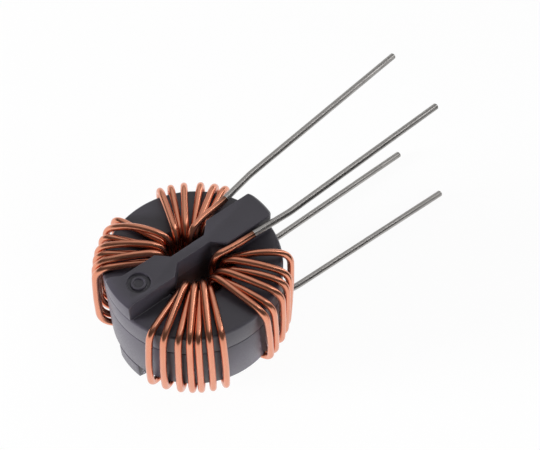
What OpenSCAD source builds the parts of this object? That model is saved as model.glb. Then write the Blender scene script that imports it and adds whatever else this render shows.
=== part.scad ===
// Two-winding toroidal inductor: a ferrite ring in a two-part moulded case, wound with copper wire.
// The ring lies flat. The origin is on its axis, at the lower bar's face. The leads leave along +X.

/* [Ferrite core] */
// Outside diameter of the ferrite ring
core_od = 22; // [20:0.5:25]
// Inside diameter of the ferrite ring
core_bore_d = 14; // [13.5:0.25:15]
// Height of the ferrite ring
core_h = 10; // [8:0.5:13]
// Chamfer on the ring's edges
core_cut = 0.8; // [0.4:0.1:1.2]

/* [Case] */
// Thickness of the outer wall and of the bore's wall
side_wall = 1.3; // [1.1:0.05:1.5]
// Thickness of the roof and of the floor
face_wall = 1.05; // [0.8:0.05:1.5]
// Play between the core and the walls
core_gap = 0.2; // [0.1:0.05:0.4]
// Play between the core and the roof
core_head = 0.4; // [0.2:0.1:0.8]
// Depth of the lid, from its face to the parting line
lid_depth = 4; // [3:0.25:6]
// Chamfer on the case's outer edges
rim_cut = 0.25; // [0.25:0.05:0.6]
// Chamfer on the edges of the bore
bore_cut = 0.6; // [0.4:0.05:0.9]
// Height of the tongue that centres the lid on the cup
tongue_h = 1.2; // [0.6:0.1:1.8]
// Play round the tongue
tongue_gap = 0.06; // [0.03:0.01:0.12]
// Chamfer on both halves that shows as the parting line
seam_cut = 0.12; // [0.05:0.01:0.2]

/* [Divider bar] */
// Height of the bar over the case's face
bar_h = 3.3; // [3.2:0.1:4.5]
// Thickness of the wall that crosses the bore
neck_w = 1.4; // [1:0.1:1.6]
// Distance from the axis to where the bar widens into the pad
neck_to_pad = 3.05; // [2.8:0.05:3.3]
// Distance from the axis to where the bar widens into the lead plate
neck_to_plate = 2.6; // [2.4:0.05:2.9]
// Width of the pad
pad_w = 4.6; // [4:0.1:4.9]
// Width of the lead plate
plate_w = 4.9; // [4.2:0.1:5.1]
// Width of the shallow bevel on the pad's outer end
pad_bevel_w = 1; // [0.6:0.1:1.6]
// Height of the shallow bevel on the pad's outer end
pad_bevel_h = 0.35; // [0.2:0.05:0.8]
// Chamfer on the lead plate's outer end
plate_cut = 0.45; // [0.2:0.05:0.9]
// Radius of the lead plate's outer corners
plate_corner_r = 0.9; // [0.4:0.1:1.5]
// Distance from the axis to where one side of the lid's pad flares
flare_start = 9.9; // [9:0.1:11]
// Angle of the flare on the lid
flare_deg = 33; // [15:1:40]

/* [Gate mark] */
// Distance from the axis to the moulding gate's mark on the pad
mark_x = 8.9; // [7.5:0.1:9.2]
// Outside diameter of the mark's groove
mark_d = 3.2; // [2.6:0.1:3.6]
// Diameter of the stud inside the groove
mark_stud_d = 2.1; // [1.8:0.1:2.4]
// Diameter of the dimple in the stud
mark_dimple_d = 1.4; // [0.8:0.1:1.5]
// Depth of the groove
mark_depth = 0.4; // [0.2:0.05:0.8]
// Depth of the dimple
dimple_depth = 0.25; // [0.1:0.05:0.5]

/* [Wire] */
// Diameter of the wire
wire_d = 1; // [0.8:0.05:1.1]
// Play between the wire and the case
wire_gap = 0.05; // [0.03:0.01:0.1]
// Play between the wire and the bore's divider wall
lane_gap = 0.3; // [0.2:0.05:0.4]

/* [Leads] */
// Distance from the axis to where the tinning starts on leads 1, 3 and 4
tin_x = 9; // [8:0.25:11]
// Distance from the axis to where the tinning starts on lead 2
tin_2_x = 8.2; // [7.5:0.1:11]
// Distance from the axis to the leads' slight bend
bend_x = 14; // [13:0.5:18]
// Radius of the leads' slight bend
lead_bend_r = 12; // [6:1:20]
// Chamfer round the cut tips
tip_cut = 0.12; // [0.05:0.01:0.2]
// Height of the leads' sides inside the bar's face
lead_inset = 0.1; // [0.05:0.05:0.15]
// Gap between lead 1 and the lead plate
lead_1_gap = 1.1; // [0.3:0.1:1.6]
// Gap between lead 2 and the lead plate
lead_2_gap = 0.26; // [0.2:0.02:1.6]
// Gap between lead 3 and the lead plate
lead_3_gap = 0.6; // [0.2:0.1:1.6]
// Gap between lead 4 and the lead plate
lead_4_gap = 0.8; // [0.3:0.1:1.6]
// Distance from the axis to the tip of lead 1
lead_1_reach = 46.9; // [30:0.5:60]
// Distance from the axis to the tip of lead 2
lead_2_reach = 44.6; // [30:0.5:60]
// Distance from the axis to the tip of lead 3
lead_3_reach = 45.5; // [30:0.5:60]
// Distance from the axis to the tip of lead 4
lead_4_reach = 45; // [30:0.5:60]

/* [Hidden] */
$fn = 96;

// How far a cut runs past the face that it opens
overrun = 0.5;

// Radii and levels of the case
case_r = core_od / 2 + core_gap + side_wall;
bore_r = core_bore_d / 2 - core_gap - side_wall;
case_h = core_h + core_head + 2 * face_wall;
face_lo = bar_h;
face_hi = bar_h + case_h;

// Places of the strands: two layers stand in the bore, and every second turn takes the inner one
layer_share = 0.92;
pitch_share = 1.035;
lift_share = 1.2;
slant_share = 0.8;
wire_r = wire_d / 2;
face_gap = wire_r + wire_gap;
wall_r = case_r + face_gap;
lane_y = neck_w / 2 + wire_r + lane_gap;
function layer_r(layer) = bore_r - face_gap - layer * layer_share * wire_d;
function lift(layer) = face_gap + layer * lift_share * wire_d;

// Angles at which the turns reach the upper face's rim, from +X, in two groups for each winding
left_turns = [[31.5, 38.5, 47.5, 58, 66.5, 73.5], [109, 118, 124, 132.5, 137.5, 144, 149]];
right_turns = [[36, 50, 57, 65, 75, 81.5], [110.5, 118, 124.5, 129.5, 136, 144.5, 153]];

// Degrees by which each turn strays from its even place in the bore; one slack turn crosses another
left_drifts = [[0, -1, -5, 0, -3.5, 0.6], [5.8, -7, 2.8, 0.9, 2, 0.6, 0]];
right_drifts = [[0, 1.5, 2, 7.5, 4, 4], [0, 0, 1, 0, 0, 0, 0]];

// How high each turn arches over the upper face, as a share of the wire's diameter
left_arch_shares = [[0.4, 0.2, 0.2, 0.3, 0.3, 0.3], [0, 1.8, 0, 1, 0.2, 0.6, 0.4]];
right_arch_shares = [[1, 0.6, 0.7, 0.3, 0.4, 0], [0.25, 0.3, 0.25, 0.2, 0.1, 0.25, 0.3]];

// How far each group stands off the case as shares of the wire's diameter:
// at the upper rim, more at the waist, at the lower rim and more for the inner layer
left_slack_shares = [[0.7, 0.3, 0.3, 0], [0.4, 0.3, 1.1, 0.3]];
right_slack_shares = [[0.45, 0.3, 0.45, 0], [0.16, 0.7, 0.55, 0]];

// How each group's feet are set on the lower rim: degrees of lean, and fan as a share of the group's spread
left_feet = [[0, 0], [-1, 0.05]];
right_feet = [[-1.5, -0.2], [0.9, 0.08]];

// Angles of the bore's slots: the outermost ones clear the lead plate and the pad
spread_share = 1.3;
slot_deg = asin(pitch_share * wire_d / 2 / layer_r(1));
first_deg = asin((plate_w / 2 + face_gap) / layer_r(0));
last_deg = 180 - asin((pad_w / 2 + face_gap) / layer_r(0));

// Sweep of a round wire
wire_sides = 8;
bend_step_deg = 35;
bend_share = 1.1;
inner_bend_share = 2.3;
waist_bend_share = 4;
start_bend_share = 4;
arch_bend_share = 2.5;
lead_bend_share = 2;
slack_bend_share = 2.5;
leg_share = 0.49;

// The wire necks a little in a lead's bend, and the bend laps into the straight runs
bend_neck_share = 0.96;
bend_lap_share = 0.2;

// Route of the start and of the finish through the bore: radii as shares of the free middle
start_deg = 62;
start_foot_deg = 52;
start_foot_share = 0.83;
finish_head_share = 0.91;
finish_turn_share = 0.53;
finish_foot_share = 0.88;
finish_level_shares = [0.2, 0.45, 0.85];
free_r = layer_r(1) - bend_share * wire_d;
lead_lift = bar_h - wire_r - lead_inset;
plate_corner_x = neck_to_plate + (plate_w - neck_w) / 2;
lane_gap_share = 0.5;

// Side, face, gap to the plate, angle at the case, angle beyond the bend, reach and tinning of each lead
leads = [
  [1, 1, lead_1_gap, 12, 7.4, lead_1_reach, tin_x],
  [-1, 1, lead_2_gap, 2.75, -2.2, lead_2_reach, tin_2_x],
  [1, -1, lead_3_gap, 2.75, 0.3, lead_3_reach, tin_x],
  [-1, -1, lead_4_gap, 12, 2.35, lead_4_reach, tin_x]
];

// Moulded case

// Ring-shaped channel with its face at zero and its open side up; the step is a tongue or its socket
module shell(depth, step, split) {
  rotate_extrude()
    polygon([
      [bore_r + bore_cut, 0], [case_r - rim_cut, 0], [case_r, rim_cut],
      [case_r, depth - seam_cut], [case_r - seam_cut, depth],
      [case_r - split, depth], [case_r - split, depth + step], [case_r - side_wall, depth + step],
      [case_r - side_wall, face_wall], [bore_r + side_wall, face_wall],
      [bore_r + side_wall, depth + step], [bore_r + split, depth + step], [bore_r + split, depth],
      [bore_r, depth], [bore_r, bore_cut]
    ]);
}

// Outline of the bar: pad, neck and lead plate, run past the rim that later trims it
module bar_plan(flare) {
  neck = neck_w / 2;
  pad = pad_w / 2;
  plate = plate_w / 2;
  pad_x = neck_to_pad + pad - neck;
  end_x = case_r + overrun;
  corner_y = plate - plate_corner_r;
  corner_x = sqrt(pow(case_r - plate_corner_r, 2) - pow(corner_y, 2));
  polygon([
    [corner_x, plate], [plate_corner_x, plate], [neck_to_plate, neck],
    [-neck_to_pad, neck], [-pad_x, pad], [-flare_start, pad],
    [-end_x, pad + (end_x - flare_start) * tan(flare)],
    [-end_x, -pad], [-pad_x, -pad], [-neck_to_pad, -neck],
    [neck_to_plate, -neck], [plate_corner_x, -plate], [corner_x, -plate],
    [corner_x, -corner_y], [end_x, -corner_y], [end_x, corner_y], [corner_x, corner_y]
  ]);
  for (side = [-1, 1])
    translate([corner_x, side * corner_y]) circle(plate_corner_r);
}

// Half ring that bevels the bar's end on the -X side
module end_bevel(width, height) {
  inner_r = case_r - width;
  outer_r = case_r + overrun;
  low = bar_h - height;
  high = bar_h + overrun;
  rotate([0, 0, 90])
    rotate_extrude(angle = 180)
      polygon([[inner_r, bar_h], [case_r, low], [outer_r, low], [outer_r, high], [inner_r, high]]);
}

// Raised bar with its root at zero, trimmed by the rim and bevelled at both ends
module bar(flare) {
  difference() {
    intersection() {
      linear_extrude(bar_h) bar_plan(flare);
      cylinder(r = case_r, h = bar_h);
    }
    end_bevel(pad_bevel_w, pad_bevel_h);
    rotate([0, 0, 180]) end_bevel(plate_cut, plate_cut);
  }
}

// Mark of the moulding gate, to be cut from the bar's face at zero
module gate_mark() {
  translate([-mark_x, 0, -mark_depth])
    difference() {
      cylinder(d = mark_d, h = mark_depth + overrun);
      cylinder(d = mark_stud_d, h = mark_depth);
    }
  translate([-mark_x, 0, -dimple_depth])
    cylinder(d = mark_dimple_d, h = dimple_depth + overrun);
}

// One half of the case with its face at zero, the bar below it and the bore's divider wall above it
module case_half(depth, step, split, flare) {
  wall_l = 2 * bore_r + split;
  shell(depth, step, split);
  mirror([0, 0, 1]) bar(flare);
  translate([-wall_l / 2, -neck_w / 2, 0]) cube([wall_l, neck_w, depth]);
}

module case_lid() {
  color("#2c2c30")
    difference() {
      translate([0, 0, face_hi])
        mirror([0, 0, 1])
          case_half(lid_depth, -tongue_h - tongue_gap, (side_wall - tongue_gap) / 2, flare_deg);
      translate([0, 0, face_hi + bar_h]) gate_mark();
    }
}

module case_cup() {
  color("#2c2c30")
    translate([0, 0, face_lo])
      case_half(case_h - lid_depth, tongue_h, (side_wall + tongue_gap) / 2, 0);
}

// Ring of ferrite on the cup's floor
module ferrite_core() {
  inner_r = core_bore_d / 2;
  outer_r = core_od / 2;
  color("#4a4a4d")
    translate([0, 0, face_lo + face_wall])
      rotate_extrude()
        polygon([
          [inner_r + core_cut, 0], [outer_r - core_cut, 0], [outer_r, core_cut],
          [outer_r, core_h - core_cut], [outer_r - core_cut, core_h],
          [inner_r + core_cut, core_h], [inner_r, core_h - core_cut], [inner_r, core_cut]
        ]);
}

// Wire

function unit(v) = v / norm(v);
function polar(r, deg, z) = [r * cos(deg), r * sin(deg), z];

// Angle of the bore's even slot for a turn, counted from one
function slot(groups, turn) =
  let (
    n = len(groups[0]),
    last = n + len(groups[1]),
    second = last_deg - (last - n - 1) * slot_deg,
    pitch = min(spread_share * slot_deg, (second - slot_deg - first_deg) / (n - 1))
  )
  turn <= n ? first_deg + (turn - 1) * pitch : last_deg - (last - turn) * slot_deg;

function mean(list) = list * [for (item = list) 1] / len(list);

// Corners of one turn, each with its bend: up the wall, over the face, down the bore and out below it
function turn_corners(groups, drifts, arch_shares, slacks, feet, turn) =
  let (
    n = len(groups[0]),
    last = n + len(groups[1]),
    group = turn <= n ? 0 : 1,
    place = turn - 1 - group * n,
    layer = 1 - turn % 2,
    bend = bend_share * wire_d,
    bore_bend = layer > 0 ? inner_bend_share * wire_d : bend,
    high = slacks[group][0] * wire_d,
    bow = slacks[group][1] * wire_d,
    low = slacks[group][2] * wire_d,
    inner = lift(layer) + layer * slacks[group][3] * wire_d,
    deg = groups[group][place],
    foot_deg = deg + feet[group][0] + feet[group][1] * (deg - mean(groups[group])),
    in_deg = slot(groups, turn) + drifts[group][place],
    foot = polar(wall_r + low, foot_deg, face_lo - face_gap - low / 2),
    waist_r = wall_r + (low + high) / 2 + bow,
    rim = polar(wall_r + high, deg, face_hi + face_gap + high / 2),
    mouth = polar(layer_r(layer), in_deg, face_hi + inner),
    arch = arch_shares[group][place] * wire_d
  )
  concat(
    [
      [foot, bend + slack_bend_share * low],
      [polar(waist_r, (foot_deg + deg) / 2, (face_lo + face_hi) / 2), waist_bend_share * wire_d],
      [rim, bend + slack_bend_share * high],
      [(rim + mouth) / 2 + [0, 0, arch], arch_bend_share * wire_d],
      [mouth, bore_bend]
    ],
    turn < last ? [[polar(layer_r(layer), in_deg + slant_share * slot_deg, face_lo - inner), bore_bend]] : []
  );

// Points on a lead: the tinning's start, a wire's width nearer to the case, and beside the plate's corner
function lead_level(lead) = lead[1] > 0 ? face_hi + lead_lift : face_lo - lead_lift;
function beside_plate(x, gap, lead) = [x, plate_w / 2 + wire_r + gap, lead_level(lead)];
function tin_start(lead) = beside_plate(lead[6], lead[2], lead);
function tin_neck(lead) = tin_start(lead) - wire_d * [cos(lead[3]), sin(lead[3]), 0];
function lead_lane(lead) = beside_plate(plate_corner_x, lane_gap_share * lead[2], lead);

// From the upper lead, beside the lead plate and down the bore, to the first turn
function start_corners(lead) = [
  [tin_start(lead), 0],
  [tin_neck(lead), wire_d],
  [lead_lane(lead), lead_bend_share * wire_d],
  [polar(free_r, start_deg, lead_level(lead)), start_bend_share * wire_d],
  [polar(start_foot_share * free_r, start_foot_deg, face_lo - lift(1)), bend_share * wire_d],
  [polar(layer_r(1), first_deg, face_lo - lift(1)), bend_share * wire_d]
];

// From the last turn, along the divider wall and down the bore, to the lower lead
function finish_corners(lead) =
  let (levels = [for (share = finish_level_shares) face_hi - share * case_h])
  [
    [[-finish_head_share * layer_r(0), lane_y, levels[0]], lead_bend_share * wire_d],
    [[-finish_turn_share * layer_r(0), lane_y, levels[1]], lead_bend_share * wire_d],
    [[0, finish_foot_share * free_r, levels[2]], wire_d],
    [[0, finish_foot_share * free_r, lead_level(lead)], lead_bend_share * wire_d],
    [lead_lane(lead), lead_bend_share * wire_d],
    [tin_neck(lead), wire_d],
    [tin_start(lead), 0]
  ];

// Rounds a corner with a short curve whose legs stay within half of each side
function rounded(a, p, b, bend) =
  let (
    from = p + unit(a - p) * min(bend, norm(a - p) * leg_share),
    to = p + unit(b - p) * min(bend, norm(b - p) * leg_share),
    steps = max(1, ceil(acos(unit(p - a) * unit(b - p)) / bend_step_deg))
  )
  [for (i = [0:steps]) let (t = i / steps) (1 - t) * (1 - t) * from + 2 * t * (1 - t) * p + t * t * to];

function wire_path(corners) =
  let (last = len(corners) - 1)
  concat(
    [corners[0][0]],
    [
      for (i = [1:last - 1])
        each rounded(corners[i - 1][0], corners[i][0], corners[i + 1][0], corners[i][1])
    ],
    [corners[last][0]]
  );

// Round wire along a path, with rings that turn as little as they can
module wire(path) {
  last = len(path) - 1;
  along = [for (i = [0:last]) unit(path[min(i + 1, last)] - path[max(i - 1, 0)])];
  across = [
    for (i = 0, v = unit(cross(along[0], [0, 0, 1])); i <= last;
         i = i + 1, v = i > last ? v : unit(v - (v * along[i]) * along[i]))
      v
  ];
  points = [
    for (i = [0:last], k = [0:wire_sides - 1])
      let (deg = 360 * k / wire_sides)
      path[i] + wire_r * (cos(deg) * across[i] + sin(deg) * cross(along[i], across[i]))
  ];
  sides = [
    for (i = [0:last - 1], k = [0:wire_sides - 1])
      let (
        a = i * wire_sides + k,
        b = i * wire_sides + (k + 1) % wire_sides,
        c = a + wire_sides,
        d = b + wire_sides
      )
      each [[a, c, b], [b, c, d]]
  ];
  start = [for (k = [0:wire_sides - 1]) k];
  end = [for (k = [wire_sides - 1:-1:0]) last * wire_sides + k];
  polyhedron(points, concat([start], sides, [end]));
}

// One winding on the +Y half: start, turns and finish as one wire
module winding(groups, drifts, arch_shares, slacks, feet, upper, lower) {
  turns = len(groups[0]) + len(groups[1]);
  wire(wire_path(concat(
    start_corners(upper),
    [for (turn = [1:turns]) each turn_corners(groups, drifts, arch_shares, slacks, feet, turn)],
    finish_corners(lower)
  )));
}

module winding_left() {
  color("#b5652f")
    winding(left_turns, left_drifts, left_arch_shares, left_slack_shares, left_feet, leads[0], leads[2]);
}

module winding_right() {
  color("#b5652f")
    mirror([0, 1, 0])
      winding(right_turns, right_drifts, right_arch_shares, right_slack_shares, right_feet,
              leads[1], leads[3]);
}

// Tinned end of a winding on the +Y half: a short run, a slight bend and the long straight pin
module tinned_lead(lead) {
  turn = lead[3] - lead[4];
  lap_deg = bend_lap_share * wire_d / lead_bend_r * 180 / PI;
  run = (bend_x - lead[6]) / cos(lead[3]);
  bend_end = bend_x + lead_bend_r * (sin(lead[3]) - sin(lead[4]));
  pin = (lead[5] - bend_end) / cos(lead[4]);
  color("#a3a3a0")
    translate(tin_start(lead))
      rotate([0, 0, lead[3]]) {
        rotate([0, 90, 0]) cylinder(d = wire_d, h = run);
        translate([run, -lead_bend_r, 0]) {
          rotate([0, 0, 90 - turn - lap_deg])
            rotate_extrude(angle = turn + 2 * lap_deg)
              translate([lead_bend_r, 0]) circle(d = bend_neck_share * wire_d);
          rotate([0, 0, -turn])
            translate([0, lead_bend_r, 0])
              rotate([0, 90, 0])
                rotate_extrude()
                  polygon([[0, 0], [wire_r, 0], [wire_r, pin - tip_cut], [wire_r - tip_cut, pin], [0, pin]]);
        }
      }
}

module lead_in_place(number) {
  lead = leads[number - 1];
  if (lead[0] < 0) mirror([0, 1, 0]) tinned_lead(lead);
  else tinned_lead(lead);
}

case_lid();
case_cup();
ferrite_core();
winding_left();
winding_right();
lead_in_place(1);  // tinned_lead_1
lead_in_place(2);  // tinned_lead_2
lead_in_place(3);  // tinned_lead_3
lead_in_place(4);  // tinned_lead_4
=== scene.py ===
import math

import bmesh
import bpy
from mathutils import Matrix, Vector


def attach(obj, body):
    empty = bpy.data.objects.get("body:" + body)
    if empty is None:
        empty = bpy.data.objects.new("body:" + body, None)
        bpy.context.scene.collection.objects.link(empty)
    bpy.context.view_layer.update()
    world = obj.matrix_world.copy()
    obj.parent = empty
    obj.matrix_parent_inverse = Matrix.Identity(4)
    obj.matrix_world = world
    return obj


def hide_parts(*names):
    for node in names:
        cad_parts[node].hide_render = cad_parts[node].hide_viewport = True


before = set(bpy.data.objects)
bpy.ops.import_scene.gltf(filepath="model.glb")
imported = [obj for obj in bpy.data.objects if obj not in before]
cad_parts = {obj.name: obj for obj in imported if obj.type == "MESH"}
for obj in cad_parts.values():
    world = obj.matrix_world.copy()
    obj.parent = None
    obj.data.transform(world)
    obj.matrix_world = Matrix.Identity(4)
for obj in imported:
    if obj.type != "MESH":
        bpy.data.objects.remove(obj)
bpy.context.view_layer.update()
scene = bpy.context.scene
scene.view_settings.view_transform = "Standard"
mm = 0.001
print("frame loaded:", sorted(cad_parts))


# Small helpers

def hexColor(code):  # sRGB hex to linear
    parts = [int(code[i:i + 2], 16) / 255 for i in (1, 3, 5)]
    return [c / 12.92 if c <= 0.04045 else ((c + 0.055) / 1.055) ** 2.4 for c in parts] + [1]


def addNode(tree, kind, values=None, links=None, **settings):
    node = tree.nodes.new(kind)
    for key, value in settings.items():
        setattr(node, key, value)
    for key, value in (values or {}).items():
        node.inputs[key].default_value = value
    for key, source in (links or {}).items():
        tree.links.new(source, node.inputs[key])
    return node


def newMaterial(name):
    material = bpy.data.materials.new(name)
    material.use_nodes = True
    material.node_tree.nodes.clear()
    return material, material.node_tree


def closeMaterial(tree, shader):
    addNode(tree, "ShaderNodeOutputMaterial", links={"Surface": shader.outputs[0]})


# Camera, floor and light

photoView = {
    "azimuth": -40.75,  # degrees from the -Y side, negative towards -X
    "elevation": 53.92,
    "roll": 1.07,
    "distance": 152.2,  # mm, from the middle of the case's upper face
    "aside": 10.65,  # mm, along the picture's width and height
    "above": 5.03,
    "aimHeight": 15.8,  # mm, the case's upper face
    "lens": 73.33,
    "sensor": 36,
}


def placeCamera(view):
    azimuth, elevation, roll = (math.radians(view[key]) for key in ("azimuth", "elevation", "roll"))
    back = Vector((
        math.sin(azimuth) * math.cos(elevation),
        -math.cos(azimuth) * math.cos(elevation),
        math.sin(elevation),
    ))
    right = (-back).cross(Vector((0, 0, 1))).normalized()
    up = right.cross(-back)
    rolledRight = right * math.cos(roll) + up * math.sin(roll)
    rolledUp = up * math.cos(roll) - right * math.sin(roll)
    place = Vector((0, 0, view["aimHeight"])) + back * view["distance"]
    place += rolledRight * view["aside"] + rolledUp * view["above"]
    data = bpy.data.cameras.new("photoCamera")
    data.lens = view["lens"]
    data.sensor_width = view["sensor"]
    data.clip_start = mm
    camera = bpy.data.objects.new("photoCamera", data)
    scene.collection.objects.link(camera)
    turn = Matrix((rolledRight, rolledUp, back)).transposed()
    camera.matrix_world = Matrix.Translation(place * mm) @ turn.to_4x4()
    scene.camera = camera


placeCamera(photoView)

floorSheet = {"side": 3000, "color": "#FFFFFF", "glow": 0.94}  # white card, side in mm


def whiteCard(sheet):  # matte card: bleached white to the eye, still takes a faint shadow
    material, tree = newMaterial("whiteCard")
    path = addNode(tree, "ShaderNodeLightPath")
    seen = addNode(tree, "ShaderNodeMath", operation="ADD", use_clamp=True,
                   links={0: path.outputs["Is Camera Ray"], 1: path.outputs["Is Glossy Ray"]})
    seen = addNode(tree, "ShaderNodeMath", operation="ADD", use_clamp=True,
                   links={0: seen.outputs[0], 1: path.outputs["Is Transmission Ray"]})
    share = addNode(tree, "ShaderNodeMath", operation="MULTIPLY", values={1: sheet["glow"]},
                    links={0: seen.outputs[0]})
    matte = addNode(tree, "ShaderNodeBsdfDiffuse", values={"Color": hexColor(sheet["color"])})
    glow = addNode(tree, "ShaderNodeEmission", values={"Color": hexColor("#FFFFFF"), "Strength": 1})
    closeMaterial(tree, addNode(tree, "ShaderNodeMixShader", links={
        0: share.outputs[0], 1: matte.outputs[0], 2: glow.outputs[0]}))
    return material


def layFloor(sheet):
    half = sheet["side"] * mm / 2
    mesh = bpy.data.meshes.new("floorSheet")
    corners = [(-half, -half, 0), (half, -half, 0), (half, half, 0), (-half, half, 0)]
    mesh.from_pydata(corners, [], [(0, 1, 2, 3)])
    mesh.materials.append(whiteCard(sheet))
    floor = bpy.data.objects.new("floorSheet", mesh)
    scene.collection.objects.link(floor)


layFloor(floorSheet)

darkFlag = {"start": 18, "end": 130, "away": -30, "height": 60, "color": "#3C3C3C"}  # dark card, mm


def blackPaper(flag):  # matte paper: soaks up light, so that bright leads mirror a dark edge
    material, tree = newMaterial("blackPaper")
    closeMaterial(tree, addNode(tree, "ShaderNodeBsdfDiffuse", values={"Color": hexColor(flag["color"])}))
    return material


def standFlag(flag):
    mesh = bpy.data.meshes.new("darkFlag")
    start, end, top = flag["start"], flag["end"], flag["height"]
    corners = [(start, 0), (end, 0), (end, top), (start, top)]
    mesh.from_pydata([Vector((x, flag["away"], z)) * mm for x, z in corners], [], [(0, 1, 2, 3)])
    mesh.materials.append(blackPaper(flag))
    card = bpy.data.objects.new("darkFlag", mesh)
    card.visible_camera = False  # out of the picture, and seen in bright metal alone
    card.visible_diffuse = False
    card.visible_shadow = False
    scene.collection.objects.link(card)


standFlag(darkFlag)

roomLight = {  # strengths, and places as shares of a unit direction
    "horizon": 1.0, "zenith": 0.085, "horizonRise": 0.03, "zenithRise": 0.22,
    "window": 0.58, "windowWay": (0.38, 0.44, 0.81), "windowEdge": 0.6, "windowHeart": 0.95,
    "strip": 2.4, "stripAcross": (0, 0.97, 0.23), "stripHeart": 0.04, "stripEdge": 0.14,
    "stripStart": 0.2, "stripFull": 0.4,
}


def lightRoom(room):  # white sweep low down, dim ceiling, soft window behind, strip light over the leads
    world = bpy.data.worlds.new("lightTent")
    world.use_nodes = True
    tree = world.node_tree
    tree.nodes.clear()
    place = addNode(tree, "ShaderNodeTexCoord")
    split = addNode(tree, "ShaderNodeSeparateXYZ", links={0: place.outputs["Generated"]})
    level = addNode(tree, "ShaderNodeMapRange", interpolation_type="SMOOTHSTEP",
                    links={"Value": split.outputs["Z"]},
                    values={"From Min": room["horizonRise"], "From Max": room["zenithRise"],
                            "To Min": room["horizon"], "To Max": room["zenith"]})
    facing = addNode(tree, "ShaderNodeVectorMath", operation="DOT_PRODUCT", values={1: room["windowWay"]},
                     links={0: place.outputs["Generated"]})
    window = addNode(tree, "ShaderNodeMapRange", interpolation_type="SMOOTHSTEP",
                     links={"Value": facing.outputs["Value"]},
                     values={"From Min": room["windowEdge"], "From Max": room["windowHeart"],
                             "To Min": 0, "To Max": room["window"]})
    across = addNode(tree, "ShaderNodeVectorMath", operation="DOT_PRODUCT", values={1: room["stripAcross"]},
                     links={0: place.outputs["Generated"]})
    across = addNode(tree, "ShaderNodeMath", operation="ABSOLUTE", links={0: across.outputs["Value"]})
    near = addNode(tree, "ShaderNodeMapRange", interpolation_type="SMOOTHSTEP",
                   links={"Value": across.outputs[0]},
                   values={"From Min": room["stripHeart"], "From Max": room["stripEdge"],
                           "To Min": 1, "To Max": 0})
    strip = addNode(tree, "ShaderNodeMapRange", interpolation_type="SMOOTHSTEP",
                    links={"Value": split.outputs["X"]},
                    values={"From Min": room["stripStart"], "From Max": room["stripFull"],
                            "To Min": 0, "To Max": room["strip"]})
    strip = addNode(tree, "ShaderNodeMath", operation="MULTIPLY",
                    links={0: strip.outputs[0], 1: near.outputs[0]})
    for extra in (window, strip):
        level = addNode(tree, "ShaderNodeMath", operation="ADD",
                        links={0: level.outputs[0], 1: extra.outputs[0]})
    glow = addNode(tree, "ShaderNodeBackground", links={"Strength": level.outputs[0]},
                   values={"Color": hexColor("#FFFFFF")})
    addNode(tree, "ShaderNodeOutputWorld", links={"Surface": glow.outputs[0]})
    scene.world = world


lightRoom(roomLight)

softLamps = [  # places and sizes in mm, spread in degrees
    {"name": "leftLamp", "place": (-371, 197, 50), "aim": (0, 0, 8),  # the case's left wall
     "size": (140, 140), "spread": 180, "watts": 5.2},
    {"name": "rightLamp", "place": (30, -120, 5), "aim": (0, 0, 5),  # low beam, passes under the divider
     "size": (120, 8), "spread": 6, "watts": 0.005},
    {"name": "fillLamp", "place": (60, -400, 150), "aim": (0, 0, 8),  # a broad fill for the right wall
     "size": (320, 320), "spread": 180, "watts": 1.15},
]


def hangLamp(lamp):
    data = bpy.data.lights.new(lamp["name"], "AREA")
    data.shape = "RECTANGLE"
    data.size, data.size_y = (side * mm for side in lamp["size"])
    data.spread = math.radians(lamp["spread"])
    data.energy = lamp["watts"]
    light = bpy.data.objects.new(lamp["name"], data)
    light.visible_glossy = False  # fills the walls, and bright metal mirrors the room alone
    scene.collection.objects.link(light)
    place = Vector(lamp["place"]) * mm
    aim = Vector(lamp["aim"]) * mm
    turn = (aim - place).to_track_quat("-Z", "Y").to_matrix().to_4x4()
    light.matrix_world = Matrix.Translation(place) @ turn


for lamp in softLamps:
    hangLamp(lamp)
print("camera, floor and light placed")


# Materials

noiseSpan = {"From Min": 0.3, "From Max": 0.7}  # where most of a noise lies

mouldedNylon = {
    "color": "#3A373F", "worn": "#413E46", "ior": 1.53,
    "smooth": 0.32, "rough": 0.44, "bump": 0.5,  # least and most roughness
    "cloud": 4.0, "relief": 0.012,  # mm
    "grain": 0.22,  # mm, drawn coarser than the real grain so that it shows
    "cloudDetail": 3, "grainDetail": 2,
}


def glassFilledNylon(look):  # moulded and spark-textured: soft grey sheen, fine grain, faint clouding
    material, tree = newMaterial("glassFilledNylon")
    place = addNode(tree, "ShaderNodeTexCoord")
    cloud = addNode(tree, "ShaderNodeTexNoise", links={"Vector": place.outputs["Object"]},
                    values={"Scale": 1 / (look["cloud"] * mm), "Detail": look["cloudDetail"]})
    grain = addNode(tree, "ShaderNodeTexNoise", links={"Vector": place.outputs["Object"]},
                    values={"Scale": 1 / (look["grain"] * mm), "Detail": look["grainDetail"]})
    color = addNode(tree, "ShaderNodeMix", data_type="RGBA", links={0: cloud.outputs["Fac"]},
                    values={6: hexColor(look["color"]), 7: hexColor(look["worn"])})
    rough = addNode(tree, "ShaderNodeMapRange", links={"Value": grain.outputs["Fac"]},
                    values={**noiseSpan, "To Min": look["smooth"], "To Max": look["rough"]})
    bump = addNode(tree, "ShaderNodeBump", links={"Height": grain.outputs["Fac"]},
                   values={"Strength": look["bump"], "Distance": look["relief"] * mm})
    closeMaterial(tree, addNode(tree, "ShaderNodeBsdfPrincipled", values={"IOR": look["ior"]}, links={
        "Base Color": color.outputs[2], "Roughness": rough.outputs[0], "Normal": bump.outputs[0]}))
    return material


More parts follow.
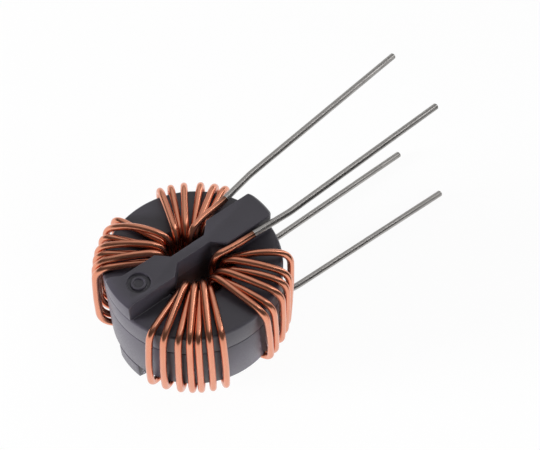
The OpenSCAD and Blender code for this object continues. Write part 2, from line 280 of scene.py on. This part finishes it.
def alongWire(tree, patch):  # noise place that follows the wire: its girth across, patch lengths along
    along = addNode(tree, "ShaderNodeAttribute", attribute_name="along")
    ring = addNode(tree, "ShaderNodeAttribute", attribute_name="ring")
    stretch = addNode(tree, "ShaderNodeMath", operation="DIVIDE", values={1: patch * mm},
                      links={0: along.outputs["Fac"]})
    lift = addNode(tree, "ShaderNodeCombineXYZ", links={2: stretch.outputs[0]})
    strand = addNode(tree, "ShaderNodeVectorMath", operation="ADD",
                     links={0: ring.outputs["Vector"], 1: lift.outputs[0]})
    return along, strand


drawnCopper = {
    "color": "#F2A383", "deep": "#E09070", "burnt": "#6E4A38",
    "smooth": 0.22, "rough": 0.34,
    "coat": 0.3, "coatRoughness": 0.12, "coatIor": 1.6,
    "patch": 6.0, "burn": 2.5,  # mm
    "patchScale": 1.4, "patchDetail": 4,
}


def enamelledCopper(look):  # drawn wire under clear varnish: salmon metal, glassy skin, slight patches
    material, tree = newMaterial("enamelledCopper")
    along, strand = alongWire(tree, look["patch"])
    patch = addNode(tree, "ShaderNodeTexNoise", links={"Vector": strand.outputs[0]},
                    values={"Scale": look["patchScale"], "Detail": look["patchDetail"]})
    color = addNode(tree, "ShaderNodeMix", data_type="RGBA", links={0: patch.outputs["Fac"]},
                    values={6: hexColor(look["color"]), 7: hexColor(look["deep"])})
    burn = addNode(tree, "ShaderNodeMapRange", links={"Value": along.outputs["Fac"]},
                   values={"From Min": 0, "From Max": look["burn"] * mm, "To Min": 1, "To Max": 0})
    color = addNode(tree, "ShaderNodeMix", data_type="RGBA",
                    links={0: burn.outputs[0], 6: color.outputs[2]}, values={7: hexColor(look["burnt"])})
    rough = addNode(tree, "ShaderNodeMapRange", links={"Value": patch.outputs["Fac"]},
                    values={**noiseSpan, "To Min": look["smooth"], "To Max": look["rough"]})
    closeMaterial(tree, addNode(tree, "ShaderNodeBsdfPrincipled", values={
        "Metallic": 1, "Coat Weight": look["coat"], "Coat Roughness": look["coatRoughness"],
        "Coat IOR": look["coatIor"]}, links={"Base Color": color.outputs[2], "Roughness": rough.outputs[0]}))
    return material


solderDip = {
    "color": "#B6B3B0", "dull": "#A6A3A0",
    "smooth": 0.28, "rough": 0.46, "bump": 0.4,
    "patch": 5.0, "relief": 0.004,  # mm
    "patchScale": 1.6, "patchDetail": 5, "patchRoughness": 0.6,
}


def solderDippedTin(look):  # tin left dull by dipping: grey metal, soft streak, cloudy along the wire
    material, tree = newMaterial("solderDippedTin")
    strand = alongWire(tree, look["patch"])[1]
    patch = addNode(tree, "ShaderNodeTexNoise", links={"Vector": strand.outputs[0]},
                    values={"Scale": look["patchScale"], "Detail": look["patchDetail"],
                            "Roughness": look["patchRoughness"]})
    color = addNode(tree, "ShaderNodeMix", data_type="RGBA", links={0: patch.outputs["Fac"]},
                    values={6: hexColor(look["color"]), 7: hexColor(look["dull"])})
    rough = addNode(tree, "ShaderNodeMapRange", links={"Value": patch.outputs["Fac"]},
                    values={**noiseSpan, "To Min": look["smooth"], "To Max": look["rough"]})
    bump = addNode(tree, "ShaderNodeBump", links={"Height": patch.outputs["Fac"]},
                   values={"Strength": look["bump"], "Distance": look["relief"] * mm})
    closeMaterial(tree, addNode(tree, "ShaderNodeBsdfPrincipled", values={"Metallic": 1}, links={
        "Base Color": color.outputs[2], "Roughness": rough.outputs[0], "Normal": bump.outputs[0]}))
    return material


firedFerrite = {
    "color": "#3B3B3E", "speck": "#55555A", "roughness": 0.55, "ior": 2.2,
    "grain": 0.3,  # mm
    "grainDetail": 4,
}


def sinteredFerrite(look):  # pressed and fired oxide: dark grey, matte, finely speckled
    material, tree = newMaterial("sinteredFerrite")
    place = addNode(tree, "ShaderNodeTexCoord")
    grain = addNode(tree, "ShaderNodeTexNoise", links={"Vector": place.outputs["Object"]},
                    values={"Scale": 1 / (look["grain"] * mm), "Detail": look["grainDetail"]})
    color = addNode(tree, "ShaderNodeMix", data_type="RGBA", links={0: grain.outputs["Fac"]},
                    values={6: hexColor(look["color"]), 7: hexColor(look["speck"])})
    closeMaterial(tree, addNode(tree, "ShaderNodeBsdfPrincipled", links={"Base Color": color.outputs[2]},
                                values={"Roughness": look["roughness"], "IOR": look["ior"]}))
    return material


nylon = glassFilledNylon(mouldedNylon)
copper = enamelledCopper(drawnCopper)
tin = solderDippedTin(solderDip)
ferrite = sinteredFerrite(firedFerrite)
print("materials made")


# Routes of the wires, in mm, as in the part's source

wire = {
    "diameter": 1.0, "play": 0.05, "lane": 0.3,
    "caseRadius": 12.5, "boreRadius": 5.5, "faceLow": 3.3, "faceHigh": 15.8,
    "barHeight": 3.3, "neckWidth": 1.4, "neckToPlate": 2.6, "padWidth": 4.6, "plateWidth": 4.9,
    "leadInset": 0.1,
    "layer": 0.92, "pitch": 1.035, "lift": 1.2,  # in diameters, as the bends are
    "bend": 1.1, "innerBend": 2.3, "waistBend": 4, "startBend": 4, "leadBend": 2, "archBend": 2.5,
    "slackBend": 2.5, "leg": 0.49, "laneGap": 0.5,  # shares of the slack, the run and the lead's gap
    "slant": 0.8, "spread": 1.3,  # shares of the angle between neighbours in the bore
    "stepDegrees": 6, "leastSteps": 2, "sides": 20,
}
routes = {
    "left": {
        "turns": [[31.5, 38.5, 47.5, 58, 66.5, 73.5], [109, 118, 124, 132.5, 137.5, 144, 149]],  # degrees
        "drifts": [[0, -1, -5, 0, -3.5, 0.6], [5.8, -7, 2.8, 0.9, 2, 0.6, 0]],  # degrees, in the bore
        "arches": [[0.4, 0.2, 0.2, 0.3, 0.3, 0.3], [0, 1.74, 0, 1, 0.2, 0.6, 0.4]],  # in diameters
        "slacks": [[0.7, 0.26, 0.3, 0], [0.4, 0.26, 1.1, 0.3]],  # upper rim, waist, lower rim, second layer
        "feet": [[0, 0], [-1, 0.05]],  # lean in degrees, and fan
        "leads": (0, 2), "side": 1,
    },
    "right": {
        "turns": [[36, 50, 57, 65, 75, 81.5], [110.5, 118, 124.5, 129.5, 136, 144.5, 153]],
        "drifts": [[0, 1.5, 2, 7.5, 4, 4], [0, 0, 1, 0, 0, 0, 0]],
        "arches": [[1, 0.6, 0.7, 0.3, 0.4, 0], [0.25, 0.3, 0.25, 0.2, 0.1, 0.25, 0.3]],
        "slacks": [[0.45, 0.26, 0.45, 0], [0.16, 0.66, 0.55, 0]],
        "feet": [[-1.5, -0.2], [0.9, 0.08]],
        "leads": (1, 3), "side": -1,
    },
}
middleRoute = {  # start and finish through the bore, radii as shares of the free middle
    "startAngle": 62, "startFootAngle": 52, "startFoot": 0.83,
    "finishHead": 0.91, "finishTurn": 0.53, "finishFoot": 0.88, "finishLevels": (0.2, 0.45, 0.85),
}
leads = [  # mm, angle and beyond in degrees
    {"side": 1, "up": True, "gap": 1.1, "angle": 12, "beyond": 7.4, "reach": 46.9, "tin": 9},
    {"side": -1, "up": True, "gap": 0.26, "angle": 2.75, "beyond": -2.2, "reach": 44.6, "tin": 8.2},
    {"side": 1, "up": False, "gap": 0.6, "angle": 2.75, "beyond": 0.3, "reach": 45.5, "tin": 9},
    {"side": -1, "up": False, "gap": 0.8, "angle": 12, "beyond": 2.35, "reach": 45, "tin": 9},
]
leadBend = {"place": 14, "radius": 12, "tipCut": 0.12, "steps": 8}

wireRadius = wire["diameter"] / 2
faceGap = wireRadius + wire["play"]
wallRadius = wire["caseRadius"] + faceGap
layerRadius = [wire["boreRadius"] - faceGap - layer * wire["layer"] * wire["diameter"] for layer in (0, 1)]
layerLift = [faceGap + layer * wire["lift"] * wire["diameter"] for layer in (0, 1)]
slotAngle = math.degrees(math.asin(wire["pitch"] * wire["diameter"] / 2 / layerRadius[1]))
firstSlot = math.degrees(math.asin((wire["plateWidth"] / 2 + faceGap) / layerRadius[0]))
lastSlot = 180 - math.degrees(math.asin((wire["padWidth"] / 2 + faceGap) / layerRadius[0]))
freeRadius = layerRadius[1] - wire["bend"] * wire["diameter"]
plateCorner = wire["neckToPlate"] + (wire["plateWidth"] - wire["neckWidth"]) / 2
laneY = wire["neckWidth"] / 2 + wireRadius + wire["lane"]


def polar(radius, degrees, height):
    angle = math.radians(degrees)
    return Vector((radius * math.cos(angle), radius * math.sin(angle), height))


def leadLevel(lead):
    rise = wire["barHeight"] - wireRadius - wire["leadInset"]
    return wire["faceHigh"] + rise if lead["up"] else wire["faceLow"] - rise


def besidePlate(x, gap, lead):
    return Vector((x, wire["plateWidth"] / 2 + wireRadius + gap, leadLevel(lead)))


def leadLane(lead):
    return besidePlate(plateCorner, wire["laneGap"] * lead["gap"], lead)


def tinStart(lead):
    return besidePlate(lead["tin"], lead["gap"], lead)


def tinNeck(lead):
    return tinStart(lead) - polar(wire["diameter"], lead["angle"], 0)


def boreSlot(groups, turn):
    first, last = len(groups[0]), len(groups[0]) + len(groups[1])
    second = lastSlot - (last - first - 1) * slotAngle
    pitch = min(wire["spread"] * slotAngle, (second - slotAngle - firstSlot) / (first - 1))
    return firstSlot + (turn - 1) * pitch if turn <= first else lastSlot - (last - turn) * slotAngle


def turnCorners(route, turn):
    groups = route["turns"]
    group = 0 if turn <= len(groups[0]) else 1
    place = turn - 1 - group * len(groups[0])
    layer = 1 - turn % 2
    thick = wire["diameter"]
    bend = wire["bend"] * thick
    boreBend = wire["innerBend"] * thick if layer else bend
    high, bow, low, extra = (share * thick for share in route["slacks"][group])
    lean, fan = route["feet"][group]
    inner = layerLift[layer] + layer * extra
    angle = groups[group][place]
    footAngle = angle + lean + fan * (angle - sum(groups[group]) / len(groups[group]))
    inAngle = boreSlot(groups, turn) + route["drifts"][group][place]
    waist = polar(wallRadius + (low + high) / 2 + bow, (footAngle + angle) / 2,
                  (wire["faceLow"] + wire["faceHigh"]) / 2)
    rim = polar(wallRadius + high, angle, wire["faceHigh"] + faceGap + high / 2)
    mouth = polar(layerRadius[layer], inAngle, wire["faceHigh"] + inner)
    crown = (rim + mouth) / 2 + Vector((0, 0, route["arches"][group][place] * thick))
    foot = polar(wallRadius + low, footAngle, wire["faceLow"] - faceGap - low / 2)
    corners = [
        (foot, bend + wire["slackBend"] * low),
        (waist, wire["waistBend"] * thick),
        (rim, bend + wire["slackBend"] * high),
        (crown, wire["archBend"] * thick),
        (mouth, boreBend),
    ]
    if turn < len(groups[0]) + len(groups[1]):
        out = inAngle + wire["slant"] * slotAngle
        corners.append((polar(layerRadius[layer], out, wire["faceLow"] - inner), boreBend))
    return corners


def startCorners(lead):
    level, thick, low = leadLevel(lead), wire["diameter"], wire["faceLow"] - layerLift[1]
    foot = middleRoute["startFoot"] * freeRadius
    return [
        (tinStart(lead), 0),
        (tinNeck(lead), thick),
        (leadLane(lead), wire["leadBend"] * thick),
        (polar(freeRadius, middleRoute["startAngle"], level), wire["startBend"] * thick),
        (polar(foot, middleRoute["startFootAngle"], low), wire["bend"] * thick),
        (polar(layerRadius[1], firstSlot, low), wire["bend"] * thick),
    ]


def finishCorners(lead):
    level, thick = leadLevel(lead), wire["diameter"]
    depth = wire["faceHigh"] - wire["faceLow"]
    levels = [wire["faceHigh"] - share * depth for share in middleRoute["finishLevels"]]
    foot = middleRoute["finishFoot"] * freeRadius
    return [
        (Vector((-middleRoute["finishHead"] * layerRadius[0], laneY, levels[0])), wire["leadBend"] * thick),
        (Vector((-middleRoute["finishTurn"] * layerRadius[0], laneY, levels[1])), wire["leadBend"] * thick),
        (Vector((0, foot, levels[2])), thick),
        (Vector((0, foot, level)), wire["leadBend"] * thick),
        (leadLane(lead), wire["leadBend"] * thick),
        (tinNeck(lead), thick),
        (tinStart(lead), 0),
    ]


def roundedCorner(before, corner, after, bend):
    start = corner + (before - corner).normalized() * min(bend, (before - corner).length * wire["leg"])
    end = corner + (after - corner).normalized() * min(bend, (after - corner).length * wire["leg"])
    turn = math.degrees((corner - before).angle(after - corner, 0))
    steps = max(wire["leastSteps"], math.ceil(turn / wire["stepDegrees"]))
    shares = [i / steps for i in range(steps + 1)]
    return [start * (1 - t) ** 2 + corner * 2 * t * (1 - t) + end * t ** 2 for t in shares]


def windingRoute(route):
    upper, lower = (leads[i] for i in route["leads"])
    corners = startCorners(upper)
    for turn in range(1, sum(map(len, route["turns"])) + 1):
        corners += turnCorners(route, turn)
    corners += finishCorners(lower)
    points = [corners[0][0]]
    for i in range(1, len(corners) - 1):
        points += roundedCorner(corners[i - 1][0], corners[i][0], corners[i + 1][0], corners[i][1])
    points.append(corners[-1][0])
    return [Vector((p.x, p.y * route["side"], p.z)) for p in points]


def leadRoute(lead):
    angle, beyond = math.radians(lead["angle"]), math.radians(lead["beyond"])
    start = tinStart(lead)
    knee = start + Vector((1, math.tan(angle), 0)) * (leadBend["place"] - lead["tin"])
    middle = knee + Vector((math.sin(angle), -math.cos(angle), 0)) * leadBend["radius"]
    points = [start]
    for i in range(leadBend["steps"] + 1):
        turn = angle + (beyond - angle) * i / leadBend["steps"]
        points.append(middle + Vector((-math.sin(turn), math.cos(turn), 0)) * leadBend["radius"])
    ahead = Vector((1, math.tan(beyond), 0))
    tip = points[-1] + ahead * (lead["reach"] - points[-1].x)
    points += [tip - ahead.normalized() * leadBend["tipCut"], tip]
    return [Vector((p.x, p.y * lead["side"], p.z)) for p in points]


# Round wire swept along a route by nodes

def sweepTree():
    tree = bpy.data.node_groups.new("sweptWire", "GeometryNodeTree")
    face = tree.interface
    face.new_socket("Geometry", in_out="INPUT", socket_type="NodeSocketGeometry")
    face.new_socket("Wire Radius", in_out="INPUT", socket_type="NodeSocketFloat")
    face.new_socket("Sides", in_out="INPUT", socket_type="NodeSocketInt")
    face.new_socket("Finish", in_out="INPUT", socket_type="NodeSocketMaterial")
    face.new_socket("Geometry", in_out="OUTPUT", socket_type="NodeSocketGeometry")
    given = addNode(tree, "NodeGroupInput").outputs
    route = addNode(tree, "GeometryNodeMeshToCurve", links={"Mesh": given["Geometry"]})
    length = addNode(tree, "GeometryNodeSplineParameter")
    route = addNode(tree, "GeometryNodeStoreNamedAttribute", data_type="FLOAT", domain="POINT",
                    values={"Name": "along"},
                    links={"Geometry": route.outputs[0], "Value": length.outputs["Length"]})
    circle = addNode(tree, "GeometryNodeCurvePrimitiveCircle", mode="RADIUS",
                     links={"Resolution": given["Sides"], "Radius": given["Wire Radius"]})
    spot = addNode(tree, "GeometryNodeInputPosition")
    spoke = addNode(tree, "ShaderNodeVectorMath", operation="NORMALIZE", links={0: spot.outputs[0]})
    circle = addNode(tree, "GeometryNodeStoreNamedAttribute", data_type="FLOAT_VECTOR", domain="POINT",
                     values={"Name": "ring"},
                     links={"Geometry": circle.outputs[0], "Value": spoke.outputs[0]})
    girth = addNode(tree, "GeometryNodeInputNamedAttribute", data_type="FLOAT", values={"Name": "girth"})
    swept = addNode(tree, "GeometryNodeCurveToMesh", values={"Fill Caps": True},
                    links={"Curve": route.outputs[0], "Profile Curve": circle.outputs[0],
                           "Scale": girth.outputs[0]})
    smooth = addNode(tree, "GeometryNodeSetShadeSmooth", links={"Geometry": swept.outputs[0]})
    real = addNode(tree, "GeometryNodeRealizeInstances", links={"Geometry": smooth.outputs[0]})
    done = addNode(tree, "GeometryNodeSetMaterial",
                   links={"Geometry": real.outputs[0], "Material": given["Finish"]})
    addNode(tree, "NodeGroupOutput", links={"Geometry": done.outputs[0]})
    return tree


def sweepWire(tree, name, points, finish, tipGirth=1):
    route = bpy.data.meshes.new(name + "Route")
    steps = range(len(points) - 1)
    route.from_pydata([p * mm for p in points], [(i, i + 1) for i in steps], [])
    girth = route.attributes.new("girth", "FLOAT", "POINT")
    girth.data.foreach_set("value", [1.0] * len(steps) + [tipGirth])
    carrier = bpy.data.objects.new(name + "Carrier", route)
    scene.collection.objects.link(carrier)
    modifier = carrier.modifiers.new("sweep", "NODES")
    modifier.node_group = tree
    sockets = {item.name: item.identifier for item in tree.interface.items_tree if item.in_out == "INPUT"}
    modifier[sockets["Wire Radius"]] = wireRadius * mm
    modifier[sockets["Sides"]] = wire["sides"]
    modifier[sockets["Finish"]] = finish
    evaluated = carrier.evaluated_get(bpy.context.evaluated_depsgraph_get())
    mesh = bpy.data.meshes.new_from_object(evaluated)
    carrier.modifiers.remove(modifier)
    bpy.data.objects.remove(carrier)
    mesh.name = name
    piece = bpy.data.objects.new(name, mesh)
    scene.collection.objects.link(piece)
    return piece


def seat(piece, node):
    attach(piece, "root")
    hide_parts(node)
    print(piece.name, "triangles", sum(len(f.vertices) - 2 for f in piece.data.polygons))


sweep = sweepTree()
for side, route in routes.items():
    winding = sweepWire(sweep, side + "Winding", windingRoute(route), copper)
    seat(winding, "winding_" + side)
tipGirth = 1 - leadBend["tipCut"] / wireRadius
for number, lead in enumerate(leads, 1):
    pin = sweepWire(sweep, "tinnedLead%d" % number, leadRoute(lead), tin, tipGirth)
    seat(pin, "tinned_lead_%d" % number)
print("windings and leads swept")


# Case halves: the moulding's own form with its sharp edges eased

easedEdge = {
    "width": 0.12, "weld": 0.03,  # mm
    "sharp": 25, "flat": 0.4,  # degrees
    "steps": 2, "profile": 0.5,
}


def easedMoulding(node, name):
    form = bmesh.new()
    form.from_mesh(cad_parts[node].data)
    bmesh.ops.remove_doubles(form, verts=form.verts, dist=easedEdge["weld"] * mm)
    bmesh.ops.dissolve_limit(form, angle_limit=math.radians(easedEdge["flat"]),
                             verts=form.verts, edges=form.edges)
    sharp = [e for e in form.edges
             if len(e.link_faces) == 2 and e.calc_face_angle(0) > math.radians(easedEdge["sharp"])]
    bmesh.ops.bevel(form, geom=sharp, offset=easedEdge["width"] * mm, segments=easedEdge["steps"],
                    profile=easedEdge["profile"], affect="EDGES",
                    clamp_overlap=False)  # a clamp would shrink every edge
    mesh = bpy.data.meshes.new(name)
    form.to_mesh(mesh)
    form.free()
    mesh.materials.clear()
    mesh.materials.append(nylon)
    mesh.shade_smooth()
    mesh.set_sharp_from_angle(angle=math.radians(easedEdge["sharp"]))
    piece = bpy.data.objects.new(name, mesh)
    scene.collection.objects.link(piece)
    seat(piece, node)


easedMoulding("case_lid", "caseLid")
easedMoulding("case_cup", "caseCup")

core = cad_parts["ferrite_core"]
core.data.materials.clear()
core.data.materials.append(ferrite)
print("case and core finished")
